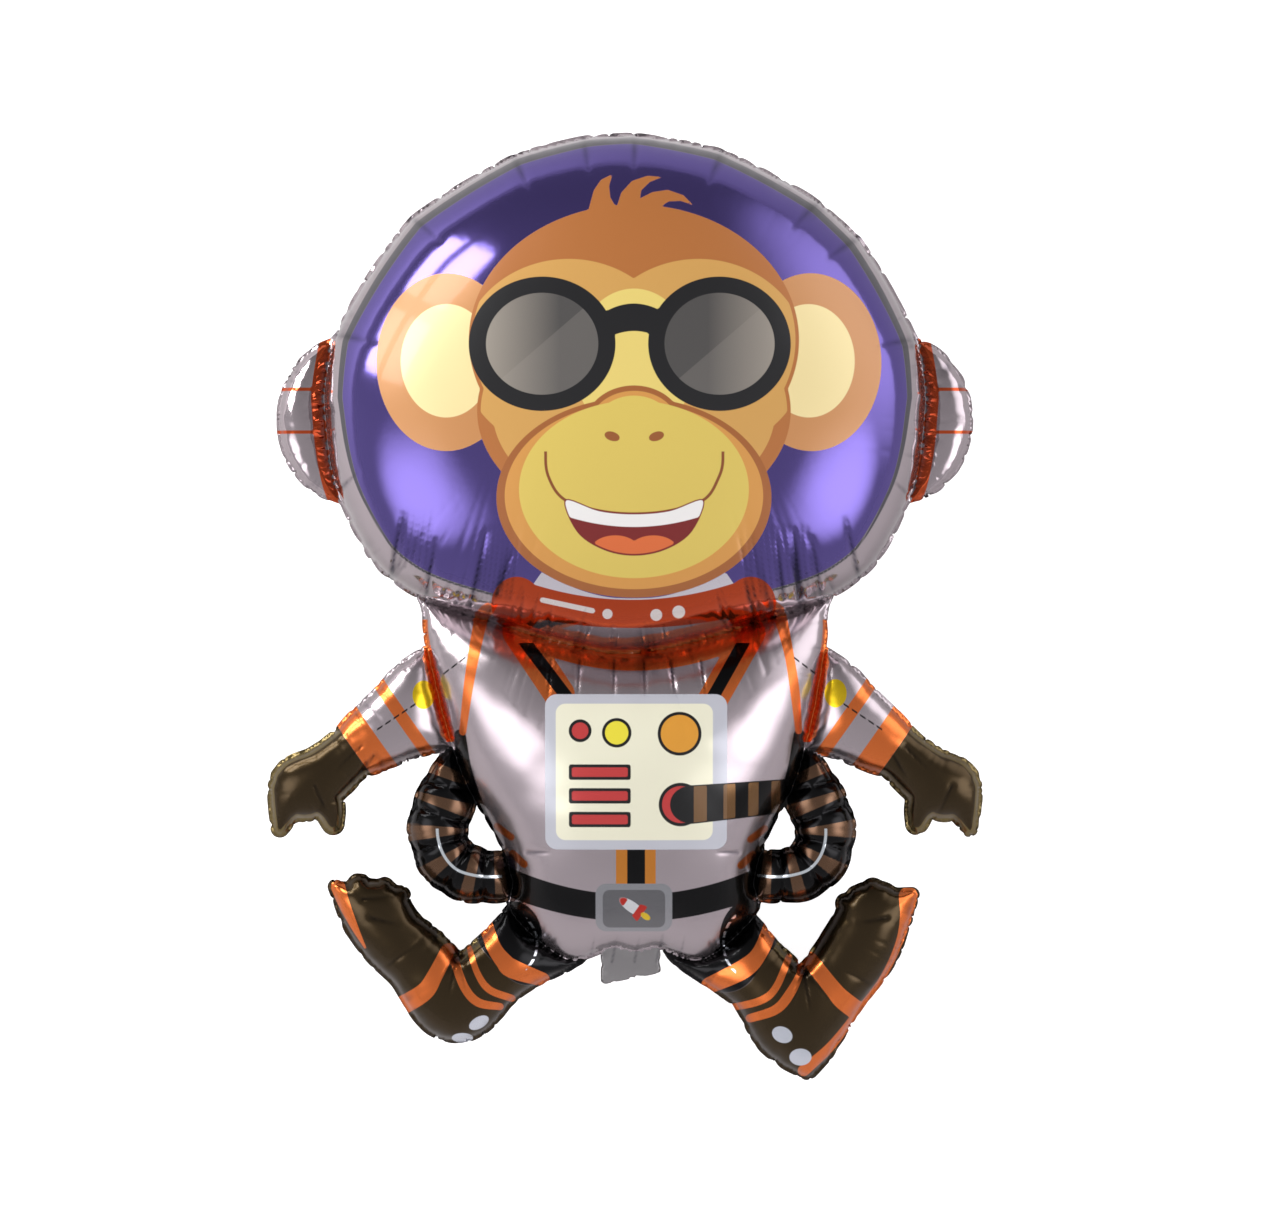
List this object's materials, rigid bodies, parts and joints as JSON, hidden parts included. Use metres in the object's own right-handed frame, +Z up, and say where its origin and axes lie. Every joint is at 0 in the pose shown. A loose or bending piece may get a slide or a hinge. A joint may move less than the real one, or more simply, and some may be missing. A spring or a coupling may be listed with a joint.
{
  "type": "monkey foil balloon",
  "caption": "Inflated foil balloon of a monkey in a round helmet and space suit with hose loops and boots, lying on its back.",
  "frame": {"origin": "middle of the footprint, on the floor that the balloon lies on", "axes": "+Z up out of the printed front, +Y towards the top of the helmet, +X to the right as seen from the front"},
  "size_m": [0.6026, 0.799, 0.268],
  "materials": {
    "head_foil": "printed metallised film, glossy",
    "body_foil": "printed metallised film, satin silver"
  },
  "bodies": {
    "root": {"head_balloon": "head_foil", "body_balloon": "body_foil"}
  },
  "joints": []
}
